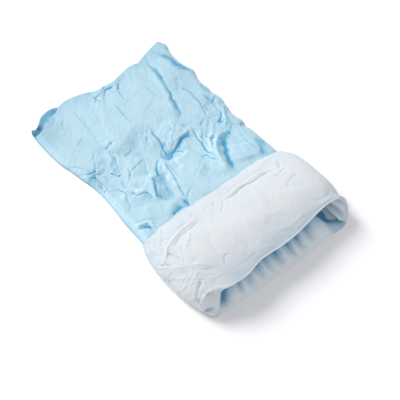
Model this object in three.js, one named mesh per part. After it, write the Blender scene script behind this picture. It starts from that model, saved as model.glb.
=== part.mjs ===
// A tubular disposable patient gown body, lying flat, with its hem end turned back into a deep cuff.
// The cloth is two plies: a pale blue film outside and a white lining inside. Where the tube is turned back,
// the lining faces out, so the cuff is white. Every ply is its own solid, drawn PLY thick with CLEARANCE of air
// to the next, because real plies of a third of a millimetre would be too thin to stand on.
// Millimetres. +X runs from the far open end to the mouth of the cuff, +Z is up, the underside is at z = 0.
import * as THREE from "three";

// Driving dimensions.
const BODY_WIDTH = 300; // the tube laid flat, seam to seam
const TAIL_LENGTH = 312; // the blue part that shows, from the far end to the back of the cuff
const CUFF_LENGTH = 184; // the turned-back part, from its hem to the lower lip of the mouth
const SIDE_BULGE = 15; // each rounded side of the cuff stands out this far past the tube's edge
const SIDE_ROUND = 12; // and its rounding starts this far inside that edge
const CUFF_HEIGHT = 54; // floor to the crown of the cuff
const CROWN_SHARE = 0.62; // where the crown lies along the cuff, from its back
const MOUTH_HEIGHT = 46; // top of the cuff at the mouth's upper lip
const LIP_OVERHANG = 15; // the lower lip reaches this far past the upper one
const PLY = 1.2; // stand-in thickness of one ply
const CLEARANCE = 0.4; // air between neighbouring solids
const TUBE_GAP = 7.4; // free height between the linings in the flat part of the tube
const SEAM_WIDTH = 3.5; // width of the side seam allowance
const HEM_LENGTH = 12; // length along the cuff of its rolled hem
const HEM_HEIGHT = 8; // height of the rolled hem
const FOLD_DEPTH = 1.6; // length along X of the folded edge at each lip
const RAMP_LENGTH = 30; // where the lower panel climbs onto the cuff's lower plies
const RAMP_MARGIN = 4; // the climb ends this far before the cuff's lower hem
const STEPS = 20; // segments along a curved ply
const ARC_SEGMENTS = 14; // segments round a side of the cuff

// Places worked out from them.
const STEP_UP = PLY + CLEARANCE;
const FAR_END = -(TAIL_LENGTH + CUFF_LENGTH) / 2;
const CUFF_BACK = FAR_END + TAIL_LENGTH;
const LOWER_LIP = CUFF_BACK + CUFF_LENGTH;
const UPPER_LIP = LOWER_LIP - LIP_OVERHANG;
const CROWN_X = CUFF_BACK + CUFF_LENGTH * CROWN_SHARE;
const INNER_START = CUFF_BACK + HEM_LENGTH;
const PLY_HALF_WIDTH = BODY_WIDTH / 2 - SEAM_WIDTH - CLEARANCE;
const SIDE_START = BODY_WIDTH / 2 - SIDE_ROUND; // the top of the cuff turns down from here
const CUFF_HALF_WIDTH = SIDE_START - CLEARANCE;
const RAMP_END = CUFF_BACK - RAMP_MARGIN;
const RAMP_START = RAMP_END - RAMP_LENGTH;
const CUFF_PLIES_UNDER = 2; // cuff lining and cuff film lie under the lower panel
const UPPER_LINING_Z = 2 * STEP_UP + TUBE_GAP - CLEARANCE;
const UPPER_FILM_Z = UPPER_LINING_Z + STEP_UP;
const HEM_Z = UPPER_FILM_Z + STEP_UP;
const HEM_TOP = HEM_Z + HEM_HEIGHT;

const blueFilm = new THREE.MeshStandardMaterial({ color: 0xb4dcee, roughness: 0.62, metalness: 0 });
const whiteLining = new THREE.MeshStandardMaterial({ color: 0xe6eaee, roughness: 0.85, metalness: 0 });
const innerLining = new THREE.MeshStandardMaterial({ color: 0xc3d6e1, roughness: 0.85, metalness: 0 });

const smooth = (from, to, x) => {
  const t = THREE.MathUtils.clamp((x - from) / (to - from), 0, 1);
  return t * t * (3 - 2 * t);
};

// Top of the cuff's outer ply: it springs from the top of the hem, crowns, and drops a little to the upper lip.
const cuffTop = (x) => {
  if (x < CROWN_X) {
    const rise = THREE.MathUtils.clamp((x - INNER_START) / (CROWN_X - INNER_START), 0, 1);
    return HEM_TOP + (CUFF_HEIGHT - HEM_TOP) * Math.sin((rise * Math.PI) / 2);
  }
  const fall = THREE.MathUtils.clamp((x - CROWN_X) / (UPPER_LIP - CROWN_X), 0, 1);
  return CUFF_HEIGHT - (CUFF_HEIGHT - MOUTH_HEIGHT) * fall * fall;
};

// Underside of a ply nested under the cuff's outer one, counted in plies from the outside.
const underCuff = (plies) => (x) => cuffTop(x) - PLY - plies * STEP_UP;

// Underside of a ply of the tube inside the cuff: it climbs from the flat part to the upper lip.
const insideCuff = (startZ, plies) => (x) =>
  THREE.MathUtils.lerp(startZ, underCuff(plies)(UPPER_LIP), smooth(INNER_START, UPPER_LIP, x));

// Underside of a ply of the lower panel: on the floor, then up onto the cuff's two lower plies.
const lowerPanel = (startZ) => (x) =>
  startZ + CUFF_PLIES_UNDER * STEP_UP * smooth(RAMP_START, RAMP_END, x);

const flat = (z) => () => z;
const tubeWidth = () => PLY_HALF_WIDTH;
const cuffWidth = () => CUFF_HALF_WIDTH;
const lowerWidth = (x) =>
  THREE.MathUtils.lerp(PLY_HALF_WIDTH, CUFF_HALF_WIDTH, smooth(RAMP_START, RAMP_END, x));

function mesh(name, geometry, material) {
  const made = new THREE.Mesh(geometry, material);
  made.name = name;
  return made;
}

// A ply between two X stations: a thin plate whose underside and half width follow curves along X.
function ply(name, material, fromX, toX, halfWidth, underside, steps = STEPS) {
  const length = toX - fromX;
  const geometry = new THREE.BoxGeometry(length, 2, PLY, steps, 1, 1);
  geometry.translate(fromX + length / 2, 0, PLY / 2);
  const at = geometry.getAttribute("position");
  for (let i = 0; i < at.count; i++) {
    const x = at.getX(i);
    at.setY(i, at.getY(i) * halfWidth(x));
    at.setZ(i, at.getZ(i) + underside(x));
  }
  return mesh(name, geometry, material);
}

function block(name, material, [x0, x1], [y0, y1], [z0, z1]) {
  const made = mesh(name, new THREE.BoxGeometry(x1 - x0, y1 - y0, z1 - z0), material);
  made.position.set((x0 + x1) / 2, (y0 + y1) / 2, (z0 + z1) / 2);
  return made;
}

// One ply of a rounded side of the cuff: a box bent into half an elliptical ring as tall as the cuff is there.
// The box's X runs along the cuff, its Y round the ring and its Z through the ply.
function sidePly(name, material, side, plies) {
  const geometry = new THREE.BoxGeometry(1, 1, 1, STEPS, ARC_SEGMENTS, 1);
  geometry.translate(0.5, 0, 0.5);
  const reach = SIDE_BULGE + SIDE_ROUND;
  const at = geometry.getAttribute("position");
  for (let i = 0; i < at.count; i++) {
    const x = THREE.MathUtils.lerp(INNER_START, UPPER_LIP, at.getX(i));
    const angle = -side * Math.PI * at.getY(i);
    const inset = plies * STEP_UP + PLY * (1 - at.getZ(i));
    const halfHeight = cuffTop(x) / 2;
    const y = side * (SIDE_START + (reach - inset) * Math.cos(angle));
    at.setXYZ(i, x, y, halfHeight + (halfHeight - inset) * Math.sin(angle));
  }
  return mesh(name, geometry, material);
}

// The rolled hem that lies on the blue panel: a strip with a rounded top, run across the gown.
function backHem(name, material) {
  const section = new THREE.Shape();
  section.moveTo(0, 0);
  section.lineTo(HEM_LENGTH - CLEARANCE, 0);
  section.lineTo(HEM_LENGTH - CLEARANCE, HEM_HEIGHT);
  section.quadraticCurveTo(0, HEM_HEIGHT, 0, 0);
  const depth = 2 * CUFF_HALF_WIDTH;
  const geometry = new THREE.ExtrudeGeometry(section, { depth, curveSegments: ARC_SEGMENTS, bevelEnabled: false });
  const made = mesh(name, geometry, material);
  made.rotation.x = Math.PI / 2;
  made.position.set(CUFF_BACK, CUFF_HALF_WIDTH, HEM_Z);
  return made;
}

function sideSeam(name, side) {
  const outer = (side * BODY_WIDTH) / 2;
  const inner = side * (BODY_WIDTH / 2 - SEAM_WIDTH);
  const across = [Math.min(outer, inner), Math.max(outer, inner)];
  return block(name, blueFilm, [FAR_END, INNER_START - CLEARANCE], across, [0, UPPER_FILM_Z + PLY]);
}

// The flat tube: two films outside, two linings inside, and a seam down each side.
const tube = new THREE.Group();
const tubeEnd = INNER_START - CLEARANCE;
const pliesEnd = LOWER_LIP - FOLD_DEPTH - CLEARANCE;
tube.add(
  ply("upper_panel_film", blueFilm, FAR_END, tubeEnd, tubeWidth, flat(UPPER_FILM_Z), 1),
  ply("upper_panel_lining", whiteLining, FAR_END, tubeEnd, tubeWidth, flat(UPPER_LINING_Z), 1),
  ply("lower_panel_film", blueFilm, FAR_END, pliesEnd, lowerWidth, lowerPanel(0), 2 * STEPS),
  ply("lower_panel_lining", innerLining, FAR_END, pliesEnd, lowerWidth, lowerPanel(STEP_UP), 2 * STEPS),
  sideSeam("left_side_seam", -1),
  sideSeam("right_side_seam", 1),
);

// The underside of the cuff and its rounded sides.
const cuffLower = new THREE.Group();
cuffLower.add(
  ply("cuff_lower_lining", whiteLining, INNER_START, pliesEnd, cuffWidth, flat(0), 1),
  ply("cuff_lower_film", blueFilm, INNER_START, pliesEnd, cuffWidth, flat(STEP_UP), 1),
  block(
    "cuff_lower_hem", whiteLining,
    [CUFF_BACK, INNER_START - CLEARANCE], [-CUFF_HALF_WIDTH, CUFF_HALF_WIDTH], [0, STEP_UP + PLY],
  ),
  block(
    "lower_lip_fold", whiteLining,
    [LOWER_LIP - FOLD_DEPTH, LOWER_LIP], [-CUFF_HALF_WIDTH, CUFF_HALF_WIDTH], [0, 3 * STEP_UP + PLY],
  ),
);
for (const [word, side] of [["left", -1], ["right", 1]]) {
  cuffLower.add(
    sidePly(word + "_side_outer_lining", whiteLining, side, 0),
    sidePly(word + "_side_film", blueFilm, side, 1),
    sidePly(word + "_side_inner_lining", innerLining, side, 2),
  );
}

// The upper layer of the cuff, which lifts at its back when the mouth is opened.
const upperEnd = UPPER_LIP - FOLD_DEPTH - CLEARANCE;
const cuffUpper = new THREE.Group();
cuffUpper.add(
  ply("cuff_upper_lining", whiteLining, INNER_START, upperEnd, cuffWidth, underCuff(0)),
  ply("cuff_upper_film", blueFilm, INNER_START, upperEnd, cuffWidth, underCuff(1)),
  ply("inner_upper_film", blueFilm, INNER_START, upperEnd, cuffWidth, insideCuff(UPPER_FILM_Z, 2)),
  ply("inner_upper_lining", innerLining, INNER_START, upperEnd, cuffWidth, insideCuff(UPPER_LINING_Z, 3)),
  block(
    "upper_lip_fold", whiteLining,
    [UPPER_LIP - FOLD_DEPTH, UPPER_LIP],
    [-CUFF_HALF_WIDTH, CUFF_HALF_WIDTH],
    [underCuff(3)(UPPER_LIP), cuffTop(UPPER_LIP)],
  ),
  backHem("cuff_back_hem", whiteLining),
);

const gown = new THREE.Group();
gown.add(tube, cuffLower, cuffUpper);
export default gown;
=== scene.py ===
# %% [markdown]
# # A disposable gown body with its end turned back
#
# The real thing is a flat tube of two panels, sealed down both sides. Each panel is a laminate: a pale blue film
# outside and a white nonwoven lining inside. One end is turned back over itself into a deep cuff, so the cuff shows
# the white lining. The tube lies on a flat surface, and it has been folded small before, so it is full of creases.
#
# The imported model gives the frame: how big the gown is and which body moves with the mouth. Every plain solid in it
# is replaced by cloth made here.

import math

import bpy
import numpy as np
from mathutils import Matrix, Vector, geometry


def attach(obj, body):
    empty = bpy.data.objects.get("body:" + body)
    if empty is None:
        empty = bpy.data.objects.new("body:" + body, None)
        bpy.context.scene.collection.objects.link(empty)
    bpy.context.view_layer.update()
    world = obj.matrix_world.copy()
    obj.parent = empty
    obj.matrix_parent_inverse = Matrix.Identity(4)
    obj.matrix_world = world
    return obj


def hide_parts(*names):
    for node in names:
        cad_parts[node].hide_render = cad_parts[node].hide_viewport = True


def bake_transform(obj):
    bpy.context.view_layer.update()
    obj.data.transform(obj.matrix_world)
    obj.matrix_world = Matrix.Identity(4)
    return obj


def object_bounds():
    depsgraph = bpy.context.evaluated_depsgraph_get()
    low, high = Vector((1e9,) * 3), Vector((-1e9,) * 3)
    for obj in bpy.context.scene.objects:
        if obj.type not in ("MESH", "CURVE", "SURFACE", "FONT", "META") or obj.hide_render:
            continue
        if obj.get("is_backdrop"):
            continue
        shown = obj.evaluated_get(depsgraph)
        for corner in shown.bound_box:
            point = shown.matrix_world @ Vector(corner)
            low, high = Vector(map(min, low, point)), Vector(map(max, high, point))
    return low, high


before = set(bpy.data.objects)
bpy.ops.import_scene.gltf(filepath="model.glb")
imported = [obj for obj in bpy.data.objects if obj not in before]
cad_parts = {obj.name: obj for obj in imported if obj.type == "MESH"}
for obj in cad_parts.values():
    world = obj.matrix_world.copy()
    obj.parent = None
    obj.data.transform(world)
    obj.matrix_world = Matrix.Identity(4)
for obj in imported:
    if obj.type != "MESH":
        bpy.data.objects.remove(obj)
scene = bpy.context.scene
cad_low, cad_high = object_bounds()
MM = 0.001
FORWARD = np.array([1.0, 0, 0])  # from the far end towards the mouth
FAR_END = cad_low.x / MM
print("frame in mm:", [round(v / MM, 1) for v in (*cad_low, *cad_high)])

# %% [markdown]
# ## Measuring along and across
#
# A tailor measures cloth from its ends, so every place here is two numbers in millimetres: how far it is from the
# far end of the gown, and how far across from its centre line. Outlines and curves are drawn through a few such
# places. `through` joins them smoothly, and `route` does the same for places in space. The other helpers
# are the small shapes that everything below is built from: a rise, a bell, a direction and a swung curve.


# %% Curves through a few places
def through(*pairs):
    """A smooth curve through (place, value) pairs, as a function of place."""
    at, value = np.array(pairs, float).T
    slope = np.gradient(value, at)

    def curve(x):
        x = np.clip(x, at[0], at[-1])
        i = np.clip(np.searchsorted(at, x, side="right") - 1, 0, len(at) - 2)
        width = at[i + 1] - at[i]
        t = (x - at[i]) / width
        rise = value[i] + (value[i + 1] - value[i]) * t * t * (3 - 2 * t)
        bend = t * (1 - t) * width * ((1 - t) * slope[i] - t * slope[i + 1])
        return rise + bend

    return curve


def route(points, count):
    """Places evenly spaced along a smooth line through a few points."""
    points = np.array(points, float)
    steps = np.linalg.norm(np.diff(points, axis=0), axis=1)
    at = np.concatenate([[0], np.cumsum(np.maximum(steps, 1e-3))])
    fine = np.linspace(0, at[-1], 40 * len(points))
    line = np.stack([through(*zip(at, column))(fine) for column in points.T], 1)
    run = np.concatenate([[0], np.cumsum(np.linalg.norm(np.diff(line, axis=0), axis=1))])
    even = np.linspace(0, run[-1], count)
    return np.stack([np.interp(even, run, column) for column in line.T], 1)


def ease(low, high, x):
    """0 below low, 1 above high, and a smooth rise between them."""
    t = np.clip((x - low) / (high - low), 0, 1)
    return t * t * (3 - 2 * t)


def bell(x, width):
    """1 where x is 0, falling smoothly to nearly 0 at twice the width."""
    return np.exp(-((x / width) ** 2))


def unit(vectors):
    """The same directions, each with length 1."""
    return vectors / np.maximum(np.linalg.norm(vectors, axis=-1, keepdims=True), 1e-9)


def swing(start, leave, arrive, end, t):
    """Places from start to end that set out towards leave and come in from arrive."""
    return start * (1 - t) ** 3 + leave * 3 * t * (1 - t) ** 2 + arrive * 3 * t * t * (1 - t) + end * t**3


# %% [markdown]
# ## Creases
#
# A crease in film and nonwoven is crisp at its line and soft at its foot. It is rarely even: one side is a long
# gentle slope and the other a short steep one. Simulation makes creases, but not where they are wanted, so each of
# the larger ones is placed singly as a stroke: a line, a height (negative for a valley), and how wide it is on its
# near side and on its far side. The far side is the one that faces the cuff and the right-hand seam.
#
# The small crumples between them are flat facets meeting at sharp edges, as in any sheet that has been crushed.
# Scattered points with random heights, joined into triangles, give exactly that. The lines where such facets cross
# zero make a web of thin creases that meet and branch as real ones do.


# %% One crease
def crease(u, v, line, height, near, far, soft=1.7):
    """The height that one crease adds at places (u, v)."""
    line = route(line, max(6, 5 * len(line)))
    reach = max(near, far)
    low, high = line.min(0) - reach, line.max(0) + reach
    box = (u > low[0]) & (u < high[0]) & (v > low[1]) & (v < high[1])
    added = np.zeros_like(u)
    if not box.any():
        return added
    place = np.stack([u[box], v[box]], 1)
    best = np.full(len(place), 1e9)
    side = np.zeros(len(place))
    run = np.zeros(len(place))
    for k, (a, b) in enumerate(zip(line[:-1], line[1:])):
        along = b - a
        length = np.hypot(*along)
        along /= length
        t = np.clip((place - a) @ along, 0, length)
        off = place - a - t[:, None] * along
        distance = np.hypot(*off.T)
        normal = np.array([-along[1], along[0]])
        normal *= 1 if normal[0] + 0.35 * normal[1] > 0 else -1
        closer = distance < best
        best = np.where(closer, distance, best)
        side = np.where(closer, off @ normal, side)
        run = np.where(closer, (k + t / length) / (len(line) - 1), run)
    width = np.where(side > 0, far, near)
    ends = ease(0, 0.22, run) * ease(0, 0.22, 1 - run)
    added[box] = height * (0.15 + 0.85 * ends) * np.clip(1 - best / width, 0, 1) ** soft
    return added


def creases(u, v, strokes):
    return sum(crease(u, v, *stroke) for stroke in strokes)


# %% Crushed facets
class Facets:
    """Flat facets between scattered points of random height, kept on a raster of 1 mm."""

    def __init__(self, low, high, spacing, seed, stretch=1.0, lean=0.0):
        random = np.random.default_rng(seed)
        self.low, self.stretch = np.array(low, float), stretch
        self.turn = np.array([[math.cos(lean), math.sin(lean)], [-math.sin(lean), math.cos(lean)]])
        corners = np.array([[a, b] for a in (low[0], high[0]) for b in (low[1], high[1])], float)
        turned = self.turned(corners)
        self.start = turned.min(0) - 2 * spacing
        size = np.ceil(turned.max(0) + 2 * spacing - self.start).astype(int)
        columns, rows = (size / spacing).astype(int) + 1
        grid = np.stack(np.meshgrid(np.arange(columns), np.arange(rows), indexing="ij"), -1).astype(float)
        grid = (grid + random.uniform(-0.42, 0.42, grid.shape)) * spacing
        points = grid.reshape(-1, 2)
        heights = random.uniform(-1, 1, len(points))
        faces = geometry.delaunay_2d_cdt([Vector(p) for p in points], [], [], 0, 1e-6)[2]
        self.raster = np.zeros(size)
        for face in faces:
            self.fill(points[list(face)], heights[list(face)])

    def turned(self, places):
        return (places - self.low) @ self.turn.T / np.array([self.stretch, 1])

    def fill(self, triangle, heights):
        low = np.maximum(np.floor(triangle.min(0)).astype(int), 0)
        high = np.minimum(np.ceil(triangle.max(0)).astype(int) + 1, self.raster.shape)
        if (high <= low).any():
            return
        x, y = np.meshgrid(np.arange(low[0], high[0]), np.arange(low[1], high[1]), indexing="ij")
        a, b, c = triangle
        area = (b[0] - a[0]) * (c[1] - a[1]) - (c[0] - a[0]) * (b[1] - a[1])
        if abs(area) < 1e-9:
            return
        p = ((b[0] - x) * (c[1] - y) - (c[0] - x) * (b[1] - y)) / area
        q = ((c[0] - x) * (a[1] - y) - (a[0] - x) * (c[1] - y)) / area
        inside = (p >= -1e-6) & (q >= -1e-6) & (p + q <= 1 + 1e-6)
        patch = self.raster[low[0] : high[0], low[1] : high[1]]
        patch[inside] = (p * heights[0] + q * heights[1] + (1 - p - q) * heights[2])[inside]

    def at(self, u, v):
        place = self.turned(np.stack([u, v], -1)) - self.start
        whole = np.clip(np.floor(place).astype(int), 0, np.array(self.raster.shape) - 2)
        s, t = np.moveaxis(np.clip(place - whole, 0, 1), -1, 0)
        i, j = np.moveaxis(whole, -1, 0)
        r = self.raster
        return (r[i, j] * (1 - s) + r[i + 1, j] * s) * (1 - t) + (r[i, j + 1] * (1 - s) + r[i + 1, j + 1] * s) * t


def network(facets, u, v, width):
    """1 along the lines where facets cross zero, falling to 0 at that width: a web of thin sharp lines."""
    return np.clip(1 - np.abs(facets.at(u, v)) / width, 0, 1)


def shape_of(u, v, outline, soft):
    """1 inside a closed outline of (u, v) places, fading to 0 over a band of that width in mm about its edge."""
    outline = np.array(outline, float)
    ends = np.roll(outline, -1, 0)
    low, high = outline.min(0) - soft, outline.max(0) + soft
    box = (u > low[0]) & (u < high[0]) & (v > low[1]) & (v < high[1])
    x, y = u[box], v[box]
    away, inside = np.full(len(x), 1e9), np.zeros(len(x), bool)
    for (a, b), (c, d) in zip(outline, ends):
        t = np.clip(((x - a) * (c - a) + (y - b) * (d - b)) / ((c - a) ** 2 + (d - b) ** 2), 0, 1)
        away = np.minimum(away, np.hypot(x - a - t * (c - a), y - b - t * (d - b)))
        if b != d:
            inside ^= ((y > b) != (y > d)) & (x < (c - a) * (y - b) / (d - b) + a)
    shape = np.zeros_like(u)
    shape[box] = ease(-soft, soft, np.where(inside, away, -away))
    return shape


def patch_of(u, v, places):
    """1 at the middle of each (u, v, radius) place, fading to 0 past its edge."""
    return sum(bell(np.hypot(u - a, v - b), radius) for a, b, radius in places)


# %% [markdown]
# ## Making a sheet
#
# Each piece of cloth is a grid of places, rows by columns. The cloth's face is the side that the grid's normals
# point to, and its thickness grows away from that side. The laminate is about 0.4 mm thick. A number called `fold`
# is stored at each point, and the materials deepen the colour by it. It is mostly painted shade: in hollows and
# creases, on slopes turned from the window light, under the lip and inside the mouth. In places it is also the
# deeper tint of cloth lying double.

# %% From a grid of places to a piece
CLOTH_THICKNESS = 0.4


def blurred(values, times):
    """A grid of values with each one averaged with its neighbours, that many times over."""
    for _ in range(times):
        padded = np.pad(values, 1, mode="edge")
        values = (padded[:-2, 1:-1] + padded[2:, 1:-1] + padded[1:-1, :-2] + padded[1:-1, 2:] + values) / 5
    return values


def cloth(name, places, face, back, fold=None):
    """A cloth piece from a grid of places in mm, with a material on its face and one on its back."""
    places = places + np.array([FAR_END, 0, 0])
    rows, columns = places.shape[:2]
    index = np.arange(rows * columns).reshape(rows, columns)
    quads = np.stack([index[:-1, :-1], index[1:, :-1], index[1:, 1:], index[:-1, 1:]], -1).reshape(-1, 4)
    mesh = bpy.data.meshes.new(name)
    mesh.from_pydata((places.reshape(-1, 3) * MM).tolist(), [], quads.tolist())
    mesh.shade_smooth()
    amount = np.zeros(rows * columns) if fold is None else np.clip(fold, 0, 1).reshape(-1)
    mesh.attributes.new("fold", "FLOAT", "POINT").data.foreach_set("value", amount.astype(np.float32))
    mesh.materials.append(face)
    mesh.materials.append(back)
    piece = bpy.data.objects.new(name, mesh)
    scene.collection.objects.link(piece)
    thicken = piece.modifiers.new("thickness", "SOLIDIFY")
    thicken.thickness = CLOTH_THICKNESS * MM
    thicken.offset = -1
    thicken.material_offset = 1
    graph = bpy.context.evaluated_depsgraph_get()
    piece.data = bpy.data.meshes.new_from_object(piece.evaluated_get(graph))
    piece.modifiers.clear()
    print(f"{name}: {rows} x {columns} places, {len(piece.data.vertices)} points")
    return piece


# %% [markdown]
# ## Colours and materials
#
# The outside is a polyethylene film laminated to nonwoven: smooth to the touch, with a soft sheen, and a little
# light passes through it. Its colour is one pale blue. Each material also has a deep colour, which paints shade
# in the hollows and creases and gives the tint of cloth lying double. The lining is spunbond polypropylene, a mat of
# fine fibres pressed with a grid of small bonding points. It is matt, and thin enough for the blue to tint it from
# behind.

# %% A node with its settings and links
NOISE = "ShaderNodeTexNoise"
CELLS = "ShaderNodeTexVoronoi"
MATH = "ShaderNodeMath"
MIX = "ShaderNodeMix"
BUMP = "ShaderNodeBump"
PRINCIPLED = "ShaderNodeBsdfPrincipled"


def linear(hex_colour):
    """An sRGB hex colour as linear red, green, blue and alpha."""
    parts = [int(hex_colour[i : i + 2], 16) / 255 for i in (1, 3, 5)]
    return [p / 12.92 if p <= 0.04045 else ((p + 0.055) / 1.055) ** 2.4 for p in parts] + [1.0]


def add(material, kind, links=None, **settings):
    """Adds a node. Settings that are the node's own are set on it, the others on the input of that name."""
    node = material.node_tree.nodes.new(kind)
    for key, value in settings.items():
        if hasattr(node, key):
            setattr(node, key, value)
        else:
            node.inputs[key.replace("_", " ")].default_value = value
    for socket, source in (links or {}).items():
        material.node_tree.links.new(source, node.inputs[socket])
    return node


def blank(name):
    """A new material with no nodes in it."""
    material = bpy.data.materials.new(name)
    material.use_nodes = True
    material.node_tree.nodes.clear()
    return material


# %% Laminate and lining
FIBRE = 1.1  # mm between clumps of fibre, drawn coarser than real ones, which are under 0.1 mm
BOND = 2.6  # mm between bonding points, drawn coarser than the real 1 to 2 mm
CRUSH = 7.0  # mm across the faint crush marks left between the larger creases
CLOUD = 38.0  # mm across the slow drift in depth of colour
LAMINATE_IOR = 1.49  # polyethylene and polypropylene both lie near this


def sheet_material(name, light, deep, roughness, sheen, through_light, fibre_bump, crush_bump):
    """Cloth from its light colour to its deep one by `fold` (painted shade and tint), with three sizes of surface
    marks.
    """
    material = blank(name)
    place = {"Vector": add(material, "ShaderNodeTexCoord").outputs["Object"]}
    fibres = add(material, NOISE, place, Scale=1 / (FIBRE * MM), Detail=2.0, Roughness=0.6)
    crush = add(material, CELLS, place, Scale=1 / (CRUSH * MM))
    bonds = add(material, CELLS, place, Scale=1 / (BOND * MM))
    clouds = add(material, NOISE, place, Scale=1 / (CLOUD * MM), Detail=3.0)
    fold = add(material, "ShaderNodeAttribute", attribute_name="fold").outputs["Fac"]
    drift = add(material, MATH, {0: clouds.outputs["Fac"]}, operation="MULTIPLY_ADD")
    drift.inputs[1].default_value = 0.22
    drift.inputs[2].default_value = -0.11
    amount = add(material, MATH, {0: fold, 1: drift.outputs[0]}, operation="ADD", use_clamp=True)
    ends = {"A": linear(light), "B": linear(deep)}
    colour = add(material, MIX, {"Factor": amount.outputs[0]}, data_type="RGBA", **ends)
    normal = {}
    for height, strength, mm_high in (
        (crush.outputs["Distance"], crush_bump, 1.2),
        (bonds.outputs["Distance"], fibre_bump * 0.6, 0.25),
        (fibres.outputs["Fac"], fibre_bump, 0.2),
    ):
        marks = add(material, BUMP, {"Height": height, **normal}, Strength=strength, Distance=mm_high * MM)
        normal = {"Normal": marks.outputs["Normal"]}
    tint = colour.outputs["Result"]
    finish = {"Roughness": roughness, "IOR": LAMINATE_IOR, "Sheen_Weight": sheen, "Sheen_Roughness": 0.5}
    surface = add(material, PRINCIPLED, {"Base Color": tint, **normal}, **finish)
    glow = add(material, "ShaderNodeBsdfTranslucent", {"Color": tint, **normal})
    both = add(material, "ShaderNodeMixShader", {1: surface.outputs[0], 2: glow.outputs[0]}, Fac=through_light)
    add(material, "ShaderNodeOutputMaterial", {"Surface": both.outputs[0]})
    return material


# In order: light colour, deep colour (painted shade and tint), roughness, sheen, light let through, and strength of
# fibre and crush marks.
film = sheet_material("blue_film_laminate", "#C5E4EF", "#46A1C9", 0.50, 0.12, 0.12, 0.25, 0.25)
film_inside = sheet_material("blue_film_inside", "#8CCBE5", "#14628F", 0.42, 0.05, 0.10, 0.15, 0.2)
lining = sheet_material("spunbond_lining", "#D7DBDE", "#86AFC9", 0.85, 0.15, 0.12, 0.4, 0.16)
tinted_lining = sheet_material("lining_over_blue_film", "#EDF4F7", "#5B9BC0", 0.8, 0.15, 0.08, 0.35, 0.16)
print("materials:", [m.name for m in bpy.data.materials])

# %% [markdown]
# ## The flat part: outline
#
# The tube was cut by hand at its far end, so that edge wanders. The side seams are nearly straight, drawn in a
# little where the cloth has puckered. The upper panel's outline is three curves: the far edge by place across, and
# each side by distance from the far end.

# %% Outline of the flat part
far_edge = through(
    (-150, 30), (-142, 31), (-135, 29), (-127, 24), (-120, 18), (-113, 18), (-108, 13), (-98, 11),
    (-88, 7), (-80, 1), (-70, -1), (-55, -1), (-42, 2), (-30, 5), (-22, 8), (-15, 12), (-8, 15), (5, 15),
    (15, 17), (28, 17), (40, 14), (50, 12), (60, 10), (70, 9), (78, 10), (84, 11.5), (90, 10), (97, 7.5),
    (106, 4.5), (121, 0.5), (134, -2.5), (142, -4), (150, 1),
)

right_edge = through(
    (0, 147), (5, 150), (10, 150), (20, 146), (30, 144), (60, 144), (70, 146), (84, 150), (92, 147),
    (104, 143), (115, 142), (130, 144), (145, 143), (155, 146), (165, 146), (175, 143), (185, 142),
    (195, 139), (210, 140), (225, 142), (231, 139), (236, 138), (245, 141), (265, 142), (290, 143), (380, 142),
)
left_edge = through(
    (0, -149), (28, -150), (35, -151), (60, -152), (80, -152), (105, -150), (118, -147), (130, -145),
    (145, -143), (160, -140), (175, -138), (195, -137), (215, -138), (235, -140), (260, -143), (280, -144),
    (305, -145), (320, -147), (380, -147),
)
HEM = 313  # the cuff's hem, from the far end
TAIL_END = 372  # the flat part ends here, out of sight inside the cuff


def from_sides(u, v):
    """How far a place lies in from the nearer side edge."""
    return np.minimum(right_edge(u) - v, v - left_edge(u))


def panel_grid(far, s, t):
    """Places over a panel: s runs from its far edge to its end, and t from -1 at the left side to 1 at the right."""
    u = s * TAIL_END
    for _ in range(3):
        v = left_edge(u) + (right_edge(u) - left_edge(u)) * (t + 1) / 2
        u = far(v) + (TAIL_END - far(v)) * s
    return u, v


print("flat width at the cuff in mm:", round(float(right_edge(HEM) - left_edge(HEM)), 1))

# %% [markdown]
# ## The flat part: relief
#
# The upper panel rests on the lower one with air caught between them. It stands about 7 mm high in the middle,
# rounds down to the seams, and rises towards the cuff. The large forms are pillows of cloth with a gentle slope
# towards the far end and a steep one towards the cuff. The fine creases run between them, and gather where the
# cloth was pinched: halfway along, and at the middle of the left seam.
#
# Each stroke below is a line of places, its height, its reach on the near and the far side, and for some a softness.

# %% Large forms
pillows = [
    ([(112, 5), (120, -15), (130, -35), (137, -52), (147, -70)], 4.2, 80, 22, 1.3),
    ([(176, 40), (182, 20), (184, 5)], 2.0, 40, 14, 1.3),
    ([(186, 58), (184, 40), (186, 24), (192, 8)], 2.6, 30, 14, 1.4),
    ([(218, 34), (222, 12), (220, -6)], 3.2, 9, 60, 1.5),
    ([(222, 100), (227, 86), (236, 74), (250, 64), (268, 57), (285, 53), (302, 49)], 6.0, 28, 17, 1.5),
    ([(262, 110), (280, 100), (300, 92)], 3.5, 45, 40, 1.2),
    ([(205, -16), (222, -25), (238, -32), (252, -36)], 2.8, 24, 20, 1.4),
    ([(212, -46), (228, -53), (243, -57), (258, -66), (270, -74)], 5.0, 60, 13, 1.5),
    ([(228, -97), (238, -92), (246, -82)], 2.4, 24, 9, 1.4),
    ([(40, 124), (75, 122), (110, 127)], 1.6, 30, 12, 1.3),
    ([(260, -96), (275, -104), (290, -112)], 2.0, 40, 26, 1.3),
    ([(232, -2), (255, -12), (275, -30)], 2.2, 34, 18, 1.3),
]

print("large forms:", len(pillows))

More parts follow.
